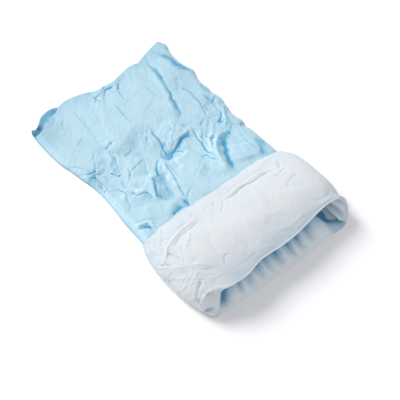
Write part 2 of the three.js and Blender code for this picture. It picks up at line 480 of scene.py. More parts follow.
# %% Long creases
long_creases = [
    ([(8, 103), (30, 98), (55, 97), (62, 94), (85, 88), (105, 82), (125, 76), (142, 70), (155, 64)], -1.2, 5, 4),
    ([(92, 87), (125, 78), (145, 71), (158, 64)], -1.3, 11, 6),
    ([(38, 101), (58, 99), (70, 93)], -1.6, 6, 6),
    ([(40, 91), (80, 83), (120, 72), (150, 58)], 1.4, 10, 6),
    ([(96, 105), (110, 109), (126, 112), (150, 109), (174, 104), (184, 95)], -1.8, 4, 4),
    ([(104, 104), (130, 106), (158, 103)], 1.0, 5, 4),
    ([(142, 128), (165, 125), (189, 122)], -1.4, 3, 4),
    ([(180, 97), (184, 90), (187, 82), (192, 75)], -1.7, 3.5, 3.5),
    ([(80, 118), (90, 110), (100, 102), (112, 97)], -1.0, 6, 6),
    ([(18, 130), (38, 133), (57, 137), (76, 141), (88, 147)], -3.0, 11, 7),
    ([(116, 138), (130, 137), (144, 141)], -2.4, 7, 7),
    ([(60, -6), (80, -6), (100, -7), (116, -7)], -1.2, 4, 4),
    ([(20, -70), (40, -68), (60, -68), (80, -72), (100, -75), (120, -80)], -0.9, 4, 4),
    ([(60, 60), (75, 61), (95, 62)], -0.7, 5, 5),
    ([(40, 18), (52, 16), (66, 16)], -0.9, 4, 4),
    ([(80, -88), (84, -98), (90, -108)], -0.9, 5, 6),
    ([(112, -148), (123, -138), (138, -123)], -1.2, 3, 4),
]

print("long creases:", len(long_creases))

# %% The pinch halfway along
pinch_creases = [
    ([(189, 57), (191, 46), (192, 38), (196, 23), (202, 8), (211, -8)], -3.4, 3.5, 5),
    ([(184, 50), (186, 38), (190, 24), (196, 10)], 1.4, 5, 3),
    ([(136, 9), (157, 7), (177, 4), (196, -3), (210, -8)], -2.6, 3, 4),
    ([(148, 3), (170, 0), (188, -6)], 1.0, 3, 3),
    ([(197, 12), (205, 19), (212, 25)], 1.5, 2.5, 2.5),
    ([(202, 8), (208, 15), (215, 22)], -1.8, 2.5, 2.5),
    ([(206, 3), (212, 12), (219, 20)], 1.5, 2.5, 2.5),
    ([(199, -18), (205, -28), (216, -38), (234, -45)], -2.4, 3, 3.5),
    ([(205, -23), (218, -33), (231, -39)], 1.3, 3, 3),
    ([(221, -52), (232, -58), (243, -62), (256, -68), (268, -74)], -3.8, 5, 6),
    ([(201, -12), (218, -18), (235, -22), (252, -27), (269, -32), (288, -37), (303, -41)], -1.8, 3, 3),
    ([(201, -17), (218, -23), (235, -27), (252, -32), (269, -36), (290, -41)], 1.8, 4, 3),
    ([(214, -16), (232, -15), (250, -19)], -1.3, 3, 3),
    ([(180, 67), (190, 63), (202, 60), (226, 54), (241, 51), (262, 56)], -2.6, 3, 4),
    ([(196, 66), (212, 62), (228, 58), (246, 57)], 1.6, 5, 3),
    ([(212, 85), (215, 80), (221, 73), (227, 66), (236, 62), (246, 60), (261, 61)], 2.4, 5, 3),
    ([(219, 87), (222, 79), (229, 71), (241, 66)], -2.4, 3.5, 4),
    ([(244, 34), (243, 40), (245, 44), (257, 45), (267, 55)], -2.2, 3, 3.5),
    ([(238, 88), (256, 78), (279, 65), (299, 58)], -4.4, 8, 11),
    ([(196, 103), (204, 93), (212, 85), (219, 77)], 1.8, 4, 4),
    ([(156, 140), (160, 131), (164, 122)], -2.0, 3.5, 4),
    ([(157, 113), (165, 112), (174, 111)], -1.2, 5, 5),
    ([(155, 131), (163, 129), (172, 128)], -1.7, 2.5, 3),
    ([(167, 139), (174, 135), (182, 133)], -1.8, 2.5, 3),
    ([(180, 141), (192, 133), (205, 127), (213, 121)], -2.4, 4, 5),
    ([(184, 126), (196, 120), (202, 112), (206, 104)], -2.8, 5, 6),
    ([(196, 128), (208, 119), (218, 108)], 1.8, 5, 4),
    ([(228, 142), (233, 134), (239, 140)], -3.0, 3, 4),
    ([(258, 142), (283, 135), (304, 129)], -1.6, 4, 5),
    ([(268, 130), (280, 130), (290, 126), (300, 121), (311, 116)], -3.0, 7, 8),
    ([(238, 118), (252, 119), (266, 115), (282, 117), (294, 116)], -1.3, 3.5, 3.5),
    ([(258, 20), (268, 14), (278, 17)], -1.1, 3, 3),
    ([(262, 10), (270, 5), (279, 8)], 0.9, 3, 3),
]

print("creases of the pinch:", len(pinch_creases))

# %% Creases towards the left seam and the cuff
left_creases = [
    ([(244, -46), (258, -54), (268, -60)], 1.6, 6, 6),
    ([(256, -42), (272, -42), (288, -43), (300, -42)], 1.4, 5, 4),
    ([(292, -45), (304, -45), (312, -50)], -2.4, 5, 6),
    ([(300, -52), (303, -66), (305, -78)], -3.0, 15, 8),
    ([(280, -18), (285, -29), (292, -37)], -1.6, 4, 5),
    ([(222, -100), (230, -97), (236, -95), (240, -83), (248, -80), (258, -80)], -2.6, 3, 5),
    ([(215, -96), (226, -91), (233, -84), (238, -76)], 1.5, 8, 4),
    ([(281, -136), (288, -124), (292, -115), (300, -116), (309, -117)], 3.8, 7, 7),
    ([(288, -138), (296, -127), (302, -122), (311, -122)], -2.2, 5, 6),
    ([(122, -58), (124, -68), (126, -79)], -2.6, 5, 4),
    ([(131, -73), (137, -77), (147, -78)], -1.8, 3, 3),
    ([(127, -60), (131, -67), (140, -73)], 1.4, 3, 3),
    ([(170, -102), (176, -98), (181, -96), (185, -87)], -2.4, 3, 4),
    ([(166, -107), (172, -104), (180, -102)], 1.2, 3, 3),
    ([(180, -71), (190, -75), (199, -82)], -1.6, 3, 4),
    ([(197, -98), (203, -99), (210, -101)], -1.5, 3, 3),
    ([(148, -4), (156, -12), (160, -20)], -1.2, 5, 5),
    ([(205, -112), (216, -108), (228, -110)], -1.1, 4, 4),
    ([(226, -134), (236, -132), (246, -138)], -1.2, 4, 4),
    ([(120, -95), (128, -103), (132, -112)], -0.9, 4, 4),
]

print("creases towards the left seam:", len(left_creases))

# %% Puckers at the seams and at the far edge
puckers = [
    ([(146, -137), (151, -126), (153, -116)], -2.6, 2.5, 3),
    ([(150, -134), (155, -124), (157, -114)], 1.6, 3, 2.5),
    ([(145, -121), (150, -117), (155, -115), (154, -101)], -2.0, 2.5, 3),
    ([(159, -120), (161, -109), (155, -100)], -2.2, 2.5, 3),
    ([(156, -140), (161, -128), (171, -125), (186, -128)], -2.4, 2.5, 3),
    ([(163, -133), (172, -131), (182, -134)], 1.6, 3, 3),
    ([(171, -128), (182, -131), (189, -127)], -2.2, 2.5, 3),
    ([(142, -125), (152, -123), (159, -124), (168, -127)], -1.6, 2.5, 2.5),
    ([(165, -119), (174, -116), (182, -120)], 1.6, 3, 3),
    ([(168, -112), (176, -111), (184, -114)], -1.4, 2.5, 2.5),
    ([(140, -133), (145, -127), (147, -119)], 1.2, 3, 3),
    ([(135, -146), (142, -139), (146, -131)], -1.6, 2.5, 3),
    ([(150, -146), (156, -140), (158, -132)], 1.2, 3, 3),
    ([(21, -23), (32, -20), (45, -18)], -1.8, 2.5, 3),
    ([(38, -30), (28, -18), (25, -4)], -2.0, 2.5, 3),
    ([(22, 31), (33, 26), (47, 26)], -1.2, 3, 3.5),
    ([(28, -17), (36, -13), (44, -12)], 1.1, 3, 3),
    ([(25, -1), (25, 9), (26, 21)], -2.8, 3, 4),
    ([(24, 36), (30, 30), (38, 22), (52, 17)], -1.8, 3, 3.5),
    ([(30, 28), (33, 18), (36, 8)], 1.4, 3, 3),
    ([(26, -36), (34, -33), (44, -34)], 0.9, 4, 4),
]

print("puckers:", len(puckers))

# %% [markdown]
# ## The flat part: pockets
#
# Where a fold lies over on itself there are four plies in place of two. Such a pocket hardly stands out in height,
# but it is drawn as a patch of deeper blue with a clear outline: partly the tint of the cloth lying double, partly
# painted shade. Each one is an outline, the softness of its edge in mm, how much it deepens the colour, and how
# far it lies down in mm.

# %% Pockets where the cloth is doubled
POCKETS = [
    (
        [(177, 4), (178, 12), (189, 7), (201, 3), (196, 16), (190, 32), (186, 45), (187, 56), (196, 52), (196, 40),
         (201, 27), (206, 17), (209, 10), (213, -2), (211, -11), (200, -17), (191, -12), (187, -4)], 2.4, 0.58, 1.0,
    ),
    ([(224, -53), (226, -48), (241, -55), (256, -61), (268, -70), (259, -71), (242, -63)], 2.2, 0.6, 1.0),
    (
        [(203, -27), (207, -25), (227, -34), (240, -37), (257, -42), (279, -52), (271, -69), (252, -58), (229, -47),
         (215, -38)], 3.5, 0.34, 0.7,
    ),
    ([(288, -44), (294, -39), (307, -44), (302, -51)], 2.6, 0.5, 0.8),
    ([(290, -69), (285, -46), (295, -41), (306, -46), (309, -64), (306, -83)], 5, 0.26, 0.4),
    ([(230, 85), (225, 95), (226, 107), (235, 108), (243, 100), (242, 90), (236, 82)], 3, 0.5, 1.2),
    ([(233, 76), (241, 91), (259, 80), (277, 69), (299, 60), (295, 54), (273, 57), (249, 67)], 3.5, 0.34, 0.8),
    ([(214, 59), (220, 62), (231, 59), (236, 51), (225, 52)], 3, 0.34, 0.5),
    ([(282, -134), (290, -120), (304, -118), (303, -124), (289, -130)], 2.4, 0.4, 0.8),
    (
        [(8, 120), (19, 128), (35, 136), (59, 140), (81, 144), (92, 147), (88, 140), (71, 131), (52, 127),
         (35, 124)], 4, 0.34, 0.6,
    ),
    (
        [(28, 97), (42, 99), (59, 99), (83, 91), (112, 83), (148, 70), (157, 62), (149, 58), (120, 69),
         (89, 81), (56, 91)], 2.4, 0.3, 0.5,
    ),
    ([(150, -78), (158, -76), (170, -84), (178, -93), (168, -94), (156, -88)], 3.5, 0.34, 0.6),
    ([(206, 108), (214, 112), (222, 122), (214, 128), (204, 120)], 4, 0.2, 0.3),
    ([(270, 132), (286, 130), (306, 118), (312, 124), (290, 138)], 3.5, 0.3, 0.5),
    ([(228, -101), (240, -92), (256, -84), (258, -76), (242, -80), (232, -90)], 3, 0.22, 0.4),
    ([(140, -128), (152, -118), (168, -114), (184, -126), (176, -134), (158, -140)], 5, 0.18, 0.3),
]

print("pockets:", len(POCKETS))

# %% Height of the upper panel
TAIL_LOW, TAIL_HIGH = (-10, -160), (380, 160)
BEND = 2.2  # mm by which the placed lines are bent, so that none runs straight
ROUND_SIDE = 13  # mm over which the panel rounds down to each seam
UNDER_PANEL = 1.7  # mm from the floor to the upper panel where the two lie flat
broad = Facets(TAIL_LOW, TAIL_HIGH, 30, seed=11, stretch=1.35, lean=-0.5)
middle = Facets(TAIL_LOW, TAIL_HIGH, 14, seed=12, stretch=1.6, lean=-0.62)
small = Facets(TAIL_LOW, TAIL_HIGH, 6.5, seed=13, stretch=1.5, lean=-0.4)
web = Facets(TAIL_LOW, TAIL_HIGH, 17, seed=14, stretch=2.6, lean=-0.75)
fine_web = Facets(TAIL_LOW, TAIL_HIGH, 9, seed=15, stretch=2.2, lean=0.35)
bend_u = Facets(TAIL_LOW, TAIL_HIGH, 11, seed=16)
bend_v = Facets(TAIL_LOW, TAIL_HIGH, 11, seed=17)
CRUSHED = [  # middle and radius of the places where the cloth is crushed small
    (158, 34, 26), (172, 0, 24), (196, 20, 18), (165, -55, 24), (150, -92, 18), (158, -124, 26), (205, 105, 24),
    (222, 65, 18), (30, 0, 20), (27, 34, 14), (232, -40, 20), (225, -112, 20), (190, 55, 18), (160, 128, 18),
    (262, 18, 12), (195, -70, 20), (185, -135, 18), (240, 120, 14), (35, -100, 12), (130, -70, 14),
]


def tail_lines(u, v):
    """Placed creases in mm, two webs from 0 to 1, how crushed it is, the pockets' tint with painted shade, and drop.
    """
    crushed = np.clip(patch_of(u, v, CRUSHED), 0, 1)
    bent_u, bent_v = u + BEND * bend_u.at(u, v), v + BEND * bend_v.at(u, v)
    lines = creases(bent_u, bent_v, long_creases + pinch_creases + left_creases + puckers)
    wide_web, thin_web = network(web, bent_u, bent_v, 0.13), network(fine_web, bent_u, bent_v, 0.15)
    shade, drop = np.zeros_like(u), np.zeros_like(u)
    for outline, soft, deeper, down in POCKETS:
        shape = shape_of(bent_u, bent_v, outline, soft)
        shade += deeper * shape
        drop += down * shape
    return lines, wide_web, thin_web, crushed, shade, drop


def tail_height(u, v):
    """Height of the upper panel's top over the floor."""
    rounding = np.sqrt(np.clip(1 - (1 - np.clip(from_sides(u, v) / ROUND_SIDE, 0, 1)) ** 2, 0, 1))
    lines, wide_web, thin_web, crushed, _, drop = tail_lines(u, v)
    relief = 0.62 * creases(u, v, pillows) + 0.42 * lines - 0.4 * drop
    relief += (0.7 + 0.8 * crushed) * broad.at(u, v)
    relief += (0.34 + 0.55 * crushed) * middle.at(u, v)
    relief += (0.05 + 0.3 * crushed) * small.at(u, v)
    relief += (0.08 + 0.4 * crushed) * thin_web - (0.1 + 0.4 * crushed) * wide_web
    swell = 6.2 + 4.5 * ease(210, HEM, u) - 1.5 * ease(70, 0, u)
    height = (swell + relief) * rounding
    return UNDER_PANEL + np.logaddexp(0, (height - 0.6) * 1.1) / 1.1


s, t = np.meshgrid(np.linspace(0, 1, 310), np.linspace(-1, 1, 256), indexing="ij")
t = np.sin(t * math.pi / 2) * 0.35 + t * 0.65
u, v = panel_grid(far_edge, s, t)
upper_z = tail_height(u, v)
lift = patch_of(u, v, [(22, -138, 26)]) * 5
upper = np.stack([u, v, upper_z + lift], -1)
print("upper panel height in mm:", round(float(upper_z.min()), 1), "to", round(float(upper_z.max()), 1))

# %% Painted shade and tint of the upper panel
# Painted shade: deeper in wide and narrow hollows, along crease valleys and the crushed webs, with painted light on
# crease ridges. The pockets add the tint of cloth lying double, with painted shade. A little deeper near the far edge
# and towards both seams.
wide_hollow = np.clip((blurred(upper_z, 180) - upper_z) / 3.4, 0, 1) * ease(3, 24, from_sides(u, v))
narrow_hollow = np.clip((blurred(upper_z, 9) - upper_z) / 0.7, 0, 1)
lines, wide_web, _, crushed, pocket_shade, _ = tail_lines(u, v)
crease_shade_and_doubling = np.clip(-lines, 0, 3.5) * 0.13 + (0.04 + 0.24 * crushed) * wide_web - 0.06 * np.clip(lines, 0, 3)
crease_shade_and_doubling += 0.74 * pocket_shade * (1 + 0.7 * small.at(u, v))
far_rim = np.exp(-np.clip(u - far_edge(v), 0, None) / 16)
upper_tint_and_painted_shade = 0.12 + 0.6 * wide_hollow + 0.4 * narrow_hollow + crease_shade_and_doubling + 0.2 * far_rim
upper_tint_and_painted_shade += 0.08 * ease(20, 130, v) + 0.05 * ease(-70, -140, v)
# Painted shade on slopes that fall towards the cuff, away from the window light.
slope_down = -np.gradient(upper_z, axis=0) / np.maximum(np.gradient(u, axis=0), 0.2)
upper_tint_and_painted_shade += 0.5 * np.clip(slope_down, 0, 0.5) - 0.03
tail_upper = cloth("upper_panel", upper, film, lining, upper_tint_and_painted_shade)

# %% [markdown]
# ## The flat part: lower panel
#
# The lower panel lies on the floor under the upper one and shows only at the far left corner, where it reaches
# past the cut edge and curls. Its inside is bare blue film there, because the lining stops short of the cut.

# %% Lower panel
lower_far = through(
    (-150, 20), (-145, 11), (-141, 14), (-135, 13), (-128, 8), (-118, 0), (-105, -4), (-90, -4), (-80, 0),
    (-70, 4), (-40, 8), (-10, 22), (30, 25), (80, 20), (148, 8),
)
s, t = np.meshgrid(np.linspace(0, 1, 120) ** 1.4, np.linspace(-1, 1, 110), indexing="ij")
u, v = panel_grid(lower_far, s, t)
curl = 3.4 * bell(u - lower_far(v), 7) * patch_of(u, v, [(8, -112, 42)])
lower_z = 0.95 + 0.25 * middle.at(u + 7, v + 3) * ease(0, 6, from_sides(u, v))
lower = np.stack([u, v, np.maximum(lower_z, 0.6) + curl], -1)
mottle = np.clip(middle.at(u * 1.4, v * 1.4), -0.5, 0.5)
corner_shade = 0.12 + 0.85 * patch_of(u, v, [(26, -146, 13), (15, -133, 6)]) - 0.4 * mottle
tail_lower = cloth("lower_panel", lower, film_inside, film, corner_shade)

# %% [markdown]
# ## Side seams
#
# The panels are heat sealed down both sides. A seal is a flat ribbon of pressed cloth about 3 mm wide with a row of
# small dents from the sealing bar.


# %% Side seams
SEAL_WIDTH, DENT_PITCH = 2.6, 2.4  # mm


def seam(name, edge, outward, start):
    """A sealed ribbon along one side edge, from start to inside the cuff."""
    u, w = np.meshgrid(np.linspace(start, HEM + 30, 260), np.linspace(0, 1, 7), indexing="ij")
    v = edge(u) + outward * (w * SEAL_WIDTH - 2.0)
    dents = 0.18 * np.cos(u * 2 * math.pi / DENT_PITCH) * np.sin(w * math.pi)
    z = 0.95 + 0.5 * np.sin(w * math.pi * 0.8) + dents + 0.2 * middle.at(u, v * 0 + 90 * outward)
    places = np.stack([u, v, z], -1)
    return cloth(name, places if outward > 0 else places[:, ::-1], film, lining)


left_seam = seam("left_seam", left_edge, -1, 34)
right_seam = seam("right_seam", right_edge, 1, 4)

# %% [markdown]
# ## The cuff: outside
#
# Where the tube is turned back, the cloth goes over the top of itself and down both sides to the floor. Seen from
# the mouth it is an arch. The arch is small at the hem, where it hugs the flat part, and grows to a round-sided
# form nearly 50 mm high. At the front it ends in a crisp lip. On the left the side turns the corner and closes the
# front as far as the lip's end. On the right it stays open as a round roll.
#
# So the surface is an arch of places repeated along the gown, and past a certain distance each place runs on along
# its own short curve to the lip.

# %% The arch along the gown
FRONT = 452  # past here the places run to the lip
ARCH_PLACES = 320
ARCH_START = 305  # the arches begin a little behind the hem
crown = through(
    (ARCH_START, 14), (HEM, 17), (320, 21), (335, 27.5), (350, 33), (380, 42), (405, 47), (425, 48.6), (FRONT, 47),
)
left_side = through(
    (ARCH_START, -148), (HEM, -149), (322, -153), (333, -158), (343, -161.5), (373, -167), (422, -168),
    (440, -167), (FRONT, -164.5),
)
right_side = through(
    (ARCH_START, 145), (316, 146), (328, 151), (342, 157), (360, 158.5), (400, 157), (440, 155), (FRONT, 152),
)
QUARTER = [  # half of the arch's outline from the floor up, as shares of its half width and of its height
    (0.955, 0.02), (0.988, 0.14), (1.0, 0.32), (0.987, 0.54), (0.955, 0.72), (0.90, 0.85), (0.82, 0.925),
    (0.68, 0.97), (0.45, 0.993), (0.2, 1.0),
]


def arch(u):
    """Places round the arch at distance u, from the floor on the left to the floor on the right."""
    middle_y, half = (left_side(u) + right_side(u)) / 2, (right_side(u) - left_side(u)) / 2
    rounded = [(-x, z) for x, z in QUARTER] + [(0, 1)] + QUARTER[::-1]
    return route([(u, middle_y + half * x, max(1.0, crown(u) * z)) for x, z in rounded], ARCH_PLACES)


stations = np.linspace(ARCH_START, FRONT, 70)
arches = np.stack([arch(u) for u in stations])
print("arch at the front, in mm:", arches[-1][0].round(1), arches[-1][ARCH_PLACES // 2].round(1))

# %% The lip
lip = route(
    [
        (492.5, -138, 1.2), (490, -135, 10), (486.5, -132, 20), (482.5, -128, 30), (480, -125, 37),
        (480.5, -120, 42.5), (483, -110, 43.5), (484.5, -95, 43.5), (484.5, -72, 43.5), (480, -54, 43.5),
        (477, -40, 43.5), (477, -20, 43.5), (478, 0, 43.5), (476, 40, 43.5),
        (471, 70, 43.5), (467, 92, 43.5), (465, 112, 43.5), (465, 127, 42), (466, 138, 38), (471, 145, 31),
        (478, 145, 22), (485, 141, 12), (489, 135, 5), (490, 128, 1.2),
    ],
    ARCH_PLACES,
)
share = np.linspace(0, 1, ARCH_PLACES)
wrap = 1 - ease(0.09, 0.17, share)  # 1 on the left, where the side turns the corner
roll = ease(0.84, 0.90, share)  # 1 on the right, where it stays open
top = (1 - wrap) * (1 - roll)  # 1 between them
arrive = unit(np.stack([1 - 1.1 * wrap - 0.55 * roll, wrap - roll, -0.22 * top], 1))
LEAVE = (9 + 17 * wrap + 9 * roll)[:, None]  # how strongly each curve keeps the arch's direction, in mm
ARRIVE = (8 + 8 * wrap + 6 * roll)[:, None]  # and the direction in which it arrives
print("lip's length in mm:", round(float(np.linalg.norm(np.diff(lip, axis=0), axis=1).sum())))

# %% Rows of the cuff
from_middle = np.cumsum(np.concatenate([[0], np.linalg.norm(np.diff(arches[40], axis=0), axis=1)]))
from_middle -= from_middle[ARCH_PLACES // 2]
hem_line = HEM + np.sin(from_middle / 23) + 0.8 * np.sin(from_middle / 9 + 1)
hem_line += 6 * ease(128, 150, np.abs(from_middle)) - 2.5 * bell(from_middle + 70, 40)
body = np.zeros((96, ARCH_PLACES, 3))
for k in range(ARCH_PLACES):
    body[:, k, 0] = np.linspace(hem_line[k], FRONT, len(body))
    for axis in (1, 2):
        body[:, k, axis] = np.interp(body[:, k, 0], stations, arches[:, k, axis])
t = np.linspace(0, 1, 40)[1:, None, None]
leave = LEAVE * unit(body[-1] - body[-5])
shell = np.concatenate([body, swing(body[-1], body[-1] + leave, lip - ARRIVE * arrive, lip, t)])
print("cuff rows and places:", shell.shape[:2])


# %% Normals and displacement
def normals(places):
    """The direction that a grid of places faces, at each of them."""
    return unit(np.cross(np.gradient(places, axis=0), np.gradient(places, axis=1)))


def unrolled(places):
    """How far along and how far round each place is, in mm, as if the piece were laid flat."""
    steps = np.linalg.norm(np.diff(places, axis=1), axis=2)
    round_it = np.pad(np.cumsum(steps, axis=1), ((0, 0), (1, 0)))
    middle = np.argmin(np.abs(places[:, 60:-60, 1]), axis=1) + 60
    return places[..., 0], round_it - np.take_along_axis(round_it, middle[:, None], 1)


# %% [markdown]
# ## The cuff: creases
#
# The lining is softer than the film, so its creases are rounder and shallower, apart from two sharp ones: the tuck
# along the hem where the turned part starts to rise, and the fold that runs down the left shoulder.

# %% Creases of the cuff
cuff_creases = [
    ([(345, -6), (346, 20), (346, 45), (349, 60), (347, 75), (350, 90), (356, 101)], -3.0, 5, 7),
    ([(340, -2), (341, 30), (341, 62), (340, 84), (344, 100)], 1.6, 7, 4),
    ([(333, 5), (334, 40), (333, 75)], -0.8, 3, 3),
    ([(330, -10), (342, -22), (354, -34), (366, -46)], -1.3, 5, 5),
    ([(344, -5), (354, -14), (366, -25)], -1.4, 5, 5),
    ([(339, -20), (350, -30), (362, -41)], 1.1, 5, 4),
    ([(340, -56), (347, -80), (346, -94), (352, -112), (359, -131), (371, -146), (386, -166)], 3.0, 9, 6),
    ([(350, -56), (356, -80), (355, -96), (361, -114), (369, -131)], -2.0, 6, 7),
    ([(350, -80), (365, -95), (384, -113)], 1.2, 5, 4),
    ([(366, -141), (376, -140), (388, -136), (398, -135)], -2.2, 6, 7),
    ([(376, -165), (386, -158), (396, -152)], -1.8, 6, 6),
    ([(370, -158), (392, -160), (412, -151)], 1.6, 6, 6),
    ([(416, -128), (430, -115), (443, -99)], 1.6, 8, 6),
    ([(422, -134), (434, -122), (446, -108)], -1.2, 5, 6),
    ([(445, -134), (455, -149), (462, -160), (471, -171)], -1.8, 4, 5),
    ([(440, -137), (450, -152), (456, -164)], 1.2, 4, 4),
    ([(440, -70), (438, -80), (448, -90)], -1.4, 4, 5),
    ([(438, -35), (450, -42)], -1.0, 3.5, 3.5),
    ([(340, 121), (350, 111), (360, 104)], -1.8, 5, 5),
    ([(362, 113), (366, 98), (368, 88)], -1.4, 5, 6),
    ([(374, 106), (362, 90), (352, 82)], 1.6, 5, 5),
    ([(385, 122), (388, 106), (396, 92), (407, 87)], -1.3, 6, 7),
    ([(330, 60), (338, 72), (342, 86)], 0.9, 5, 5),
    ([(405, -20), (420, 10), (425, 50)], 1.0, 24, 24),
    ([(395, 60), (410, 85), (432, 110)], 1.0, 20, 20),
    ([(380, -60), (400, -78), (425, -84)], -0.9, 16, 16),
    ([(460, -90), (466, -60), (463, -30)], -0.6, 8, 6),
    ([(455, 10), (459, 40), (456, 75)], 0.7, 9, 7),
    ([(448, 100), (452, 120), (446, 138)], -1.0, 8, 8),
    ([(326, -120), (340, -130), (352, -146)], -1.2, 7, 7),
    ([(330, -70), (334, -95), (330, -118)], 0.8, 6, 6),
    ([(400, -178), (430, -182), (456, -180)], -1.6, 9, 9),
    ([(390, -192), (420, -196), (452, -194)], 1.2, 8, 8),
    ([(395, 168), (425, 172), (452, 170)], -1.4, 9, 9),
]
CUFF_LOW, CUFF_HIGH = (295, -260), (520, 260)
cuff_broad = Facets(CUFF_LOW, CUFF_HIGH, 34, seed=21, stretch=1.2, lean=0.4)
cuff_middle = Facets(CUFF_LOW, CUFF_HIGH, 13, seed=22, stretch=1.5, lean=0.6)
cuff_web = Facets(CUFF_LOW, CUFF_HIGH, 19, seed=23, stretch=2.4, lean=0.9)
cuff_fine = Facets(CUFF_LOW, CUFF_HIGH, 10, seed=24, stretch=2.0, lean=-0.5)
along, round_it = unrolled(shell)
near_hem = 1 - ease(335, 372, along)
near_left = 1 - ease(-135, -95, round_it)
busy = np.clip(0.12 + 0.5 * near_hem + 0.9 * near_left, 0, 1)
bent = along + 1.8 * cuff_middle.at(along + 40, round_it), round_it + 1.8 * cuff_middle.at(along, round_it + 50)
narrow = [(line, 0.62 * height, 0.68 * near, 0.68 * far) for line, height, near, far in cuff_creases]
relief = creases(*bent, narrow) * ease(HEM - 4, HEM + 10, along)
relief += 0.8 * cuff_broad.at(along, round_it)
relief += (0.15 + 0.4 * busy) * cuff_middle.at(along, round_it)
relief += (0.12 + 0.55 * busy) * network(cuff_web, *bent, 0.12)
relief -= (0.1 + 0.5 * busy) * network(cuff_fine, *bent, 0.14)
relief *= 1 - 0.6 * ease(0.72, 1.0, np.linspace(0, 1, len(shell)) ** 3)[:, None]
out, low = normals(shell), ease(0, 7, shell[..., 2])
shell += out * (relief * low)[..., None]

print("relief of the cuff in mm:", relief.min().round(1), "to", relief.max().round(1))

# %% [markdown]
# ## The cuff: the rolled end
#
# At the left end of the mouth the layers are rolled up together, and the roll is seen end on: a rim, a shallow dish
# inside it, and a small round hollow low down. One sheet is shaped to show that, because the layers behind it don't
# show. The bead is the folded edge of the lip.


# %% The rolled end and the bead along the lip
def near_line(places, points):
    """Distance in mm from each place to a smooth line in space."""
    return np.min([np.linalg.norm(places - p, axis=2) for p in route(points, 60)], axis=0)


rim = near_line(
    shell,
    [
        (471, -135, 42), (469, -143, 39), (470, -152, 32), (471, -158, 19), (477, -157, 6), (483, -152, 2),
        (489, -147, 3), (490, -141, 9), (487, -136, 20), (483, -131, 30), (479, -127, 38),
    ],
)
dip = near_line(shell, [(475, -140, 39), (477, -144, 34), (480, -149, 24), (481, -151, 16)])
hole = near_line(shell, [(479, -154.5, 10), (482, -151.5, 14), (485, -147, 16)])
end_relief = 1.7 * bell(rim, 2.0) - 1.7 * bell(dip, 6.0) - 2.6 * bell(hole, 2.8) + 0.5 * bell(hole - 4.5, 1.2)
from_lip = np.arange(len(shell))[::-1, None]
bead = 0.5 * bell(from_lip, 1.6) * (1 - 0.8 * roll)
shell += out * ((end_relief + bead) * low)[..., None]

# %% Rest the hem on the flat part and roll it under
HEM_GAP = 2.4  # mm from the flat part's top to the cuff's outside at the hem
HEM_ROLL = 1.5  # mm, radius of the rolled hem
resting = tail_height(shell[..., 0], np.clip(shell[..., 1], -150, 148)) + HEM_GAP
near = 1 - ease(HEM + 14, HEM + 34, shell[..., 0])
shell[..., 2] = np.maximum(shell[..., 2] + near * np.maximum(0, resting - shell[..., 2]), 0.9)
edge = shell[0]
down = unit(np.cross(np.gradient(edge, axis=0), FORWARD))
down *= -np.sign((normals(shell)[0] * down).sum(1))[:, None]
turns = np.linspace(math.pi, 0, 8)[:-1]
hem_rows = np.array([edge + HEM_ROLL * ((1 - math.cos(a)) * down - math.sin(a) * FORWARD) for a in turns])
hem_rows[0] += 3 * FORWARD
hem_rows[..., 2] = np.maximum(hem_rows[..., 2], 0.6)

# %% Turn the lip under
LIP_ROLL = 0.9  # mm, radius of the folded edge of the lip
inward = -normals(shell)[-1]
ahead = unit(shell[-1] - shell[-3])
turns = np.linspace(0, math.pi, 9)[1:]
lip_rows = np.array([shell[-1] + LIP_ROLL * (math.sin(a) * ahead + (1 - math.cos(a)) * inward) for a in turns])
lip_rows[..., 2] = np.maximum(lip_rows[..., 2], 0.6)

# %% Painted shade and tint of the cuff
# Painted shade: deeper in the hollows of the relief, in the rolled end's dip and round hollow, along the top where it
# turns down to the lip over the dark mouth, and on the left side near the hem. A little deeper near the hem too.
cuff_tint_and_painted_shade = np.clip((blurred(relief, 30) - relief) / 2.6 + 0.7 * bell(hole, 3.2) + 0.1 * bell(dip, 7), 0, 1)
less_at_left = 1 - 0.75 * ease(-80, -122, shell[..., 1])
cuff_tint_and_painted_shade += 0.36 * ease(430, 480, along) * top * ease(0, 2.5, from_lip) * less_at_left
cuff_tint_and_painted_shade += 0.13 * (1 - ease(HEM, HEM + 60, along))
cuff_tint_and_painted_shade += 0.22 * (1 - ease(355, 425, along)) * ease(-120, -165, round_it)
cuff_tint_and_painted_shade = np.concatenate([np.repeat(cuff_tint_and_painted_shade[:1], len(hem_rows), 0), cuff_tint_and_painted_shade, np.zeros(lip_rows.shape[:2])])
whole = np.concatenate([hem_rows, shell, lip_rows])
cuff_outside = cloth("cuff_outside", whole, lining, film, cuff_tint_and_painted_shade)

# %% [markdown]
# ## Inside the mouth
#
# The lining runs on round the lip and back into the tube. It narrows to where the flat part comes out of it, so it
# gathers into pleats that run inwards. Only the right end of the mouth is open wide enough to see them.

